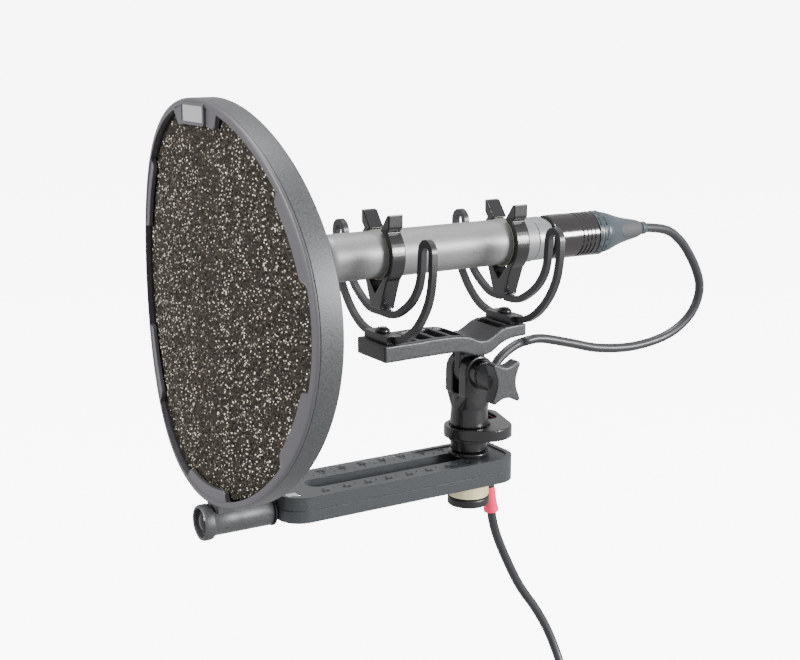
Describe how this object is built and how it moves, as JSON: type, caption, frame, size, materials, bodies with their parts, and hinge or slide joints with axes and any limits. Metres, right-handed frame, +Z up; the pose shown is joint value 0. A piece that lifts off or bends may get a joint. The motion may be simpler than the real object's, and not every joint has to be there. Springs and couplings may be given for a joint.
{
  "type": "pop filter with microphone mount",
  "caption": "Round foam pop filter on a slotted sliding arm, with swivel, lyre cradle, slim microphone and its coiled lead, for a stand.",
  "frame": {"origin": "centre of the lock ring's bottom face, where the part sits on a microphone stand, on the stand's axis", "axes": "+Z up the stand's axis, -Y towards the filter and along the arm and microphone, +X towards the tilt knob"},
  "size_m": [0.1596, 0.2717, 0.3034],
  "materials": {
    "frame_grey": "fine-textured satin moulding",
    "arm_black": "fine-textured moulding",
    "swivel_black": "glossy black",
    "lyre_black": "satin spring plastic",
    "foam": "coarse open-cell foam",
    "brass": "pale turned brass, fine straight knurl",
    "bright_metal": "bright plated",
    "mic_metal": "matt light grey",
    "black_chrome": "black plated",
    "boot_grey": "blue-grey satin",
    "lead": "dark grey satin jacket",
    "soft_red": "soft red",
    "pad": "thin pale felt"
  },
  "bodies": {
    "stand_coupling": {"thread_adaptor": "brass", "clamp_stud": "brass", "slide_washer": "swivel_black", "swivel_base": "swivel_black", "cable_clip": "swivel_black", "clip_liner": "soft_red", "lead_tail": "lead", "lead_coil": "lead", "coil_tie": "soft_red", "lead_end": "lead", "lead_plug": "black_chrome", "red_boot": "soft_red"},
    "lock_ring_body": {"lock_ring": "swivel_black"},
    "slot_bush": {"slot_guide": "swivel_black"},
    "arm": {"arm_upper_shell": "arm_black", "arm_lower_shell": "arm_black", "arm_badge": "bright_metal", "arm_screw_1": "bright_metal", "arm_screw_2": "bright_metal", "arm_screw_3": "bright_metal", "arm_screw_4": "bright_metal", "hinge_bolt": "swivel_black", "hinge_washer": "bright_metal", "hinge_spacer": "swivel_black"},
    "filter": {"hoop": "frame_grey", "front_bezel": "frame_grey", "rear_ring": "frame_grey", "foam_disc": "foam", "frame_badge": "bright_metal"},
    "swivel": {"swivel_barrel": "swivel_black", "tilt_nut": "swivel_black", "lead_neck": "lead"},
    "knob": {"tilt_knob": "arm_black", "tilt_screw": "bright_metal"},
    "cradle": {"cradle_bar": "arm_black", "lyre_front": "lyre_black", "lyre_rear": "lyre_black", "lyre_screw_front": "bright_metal", "lyre_screw_rear": "bright_metal"},
    "microphone": {"mic_clip_front": "swivel_black", "mic_clip_rear": "swivel_black", "clip_liner_front": "pad", "clip_liner_rear": "pad", "clip_rivet_front": "bright_metal", "clip_rivet_rear": "bright_metal", "mic_capsule": "mic_metal", "mic_body": "mic_metal", "mic_rear_band": "mic_metal", "connector_shell": "black_chrome", "connector_nut": "boot_grey", "connector_boot": "boot_grey", "lead_head": "lead"},
    "latch": {"latch_button": "black_chrome"}
  },
  "joints": [
    {"name": "lock_ring_turn", "type": "hinge", "parent": "stand_coupling", "child": "lock_ring_body", "pos_m": [0, 0, 0.002], "axis": [0, 0, 1], "continuous": true},
    {"name": "arm_pan", "type": "hinge", "parent": "stand_coupling", "child": "slot_bush", "pos_m": [0, 0, 0.018], "axis": [0, 0, 1], "range_deg": [-60, 0]},
    {"name": "arm_slide", "type": "slide", "parent": "slot_bush", "child": "arm", "axis": [0, 1, 0], "range_m": [0, 0.022]},
    {"name": "filter_swing", "type": "hinge", "parent": "arm", "child": "filter", "pos_m": [0, -0.115, 0.0154], "axis": [0, 1, 0], "range_deg": [-90, 90]},
    {"name": "swivel_pan", "type": "hinge", "parent": "stand_coupling", "child": "swivel", "pos_m": [0, 0, 0.04], "axis": [0, 0, 1], "range_deg": [-60, 60], "deforming": ["lead_neck"]},
    {"name": "cradle_tilt", "type": "hinge", "parent": "swivel", "child": "cradle", "pos_m": [0, 0, 0.0619], "axis": [1, 0, 0], "range_deg": [-30, 10], "deforming": ["lead_head"]},
    {"name": "knob_turn", "type": "hinge", "parent": "swivel", "child": "knob", "pos_m": [0.02, 0, 0.0619], "axis": [1, 0, 0], "range_deg": [-180, 90]},
    {"name": "suspension_travel", "type": "slide", "parent": "cradle", "child": "microphone", "axis": [0, 1, 0], "range_m": [-0.004, 0.004], "stiffness_N_per_m": 1200, "deforming": ["lyre_front", "lyre_rear", "lead_head"]},
    {"name": "latch_press", "type": "slide", "parent": "microphone", "child": "latch", "axis": [0, 0, 1], "range_m": [-0.0008, 0], "stiffness_N_per_m": 300}
  ]
}
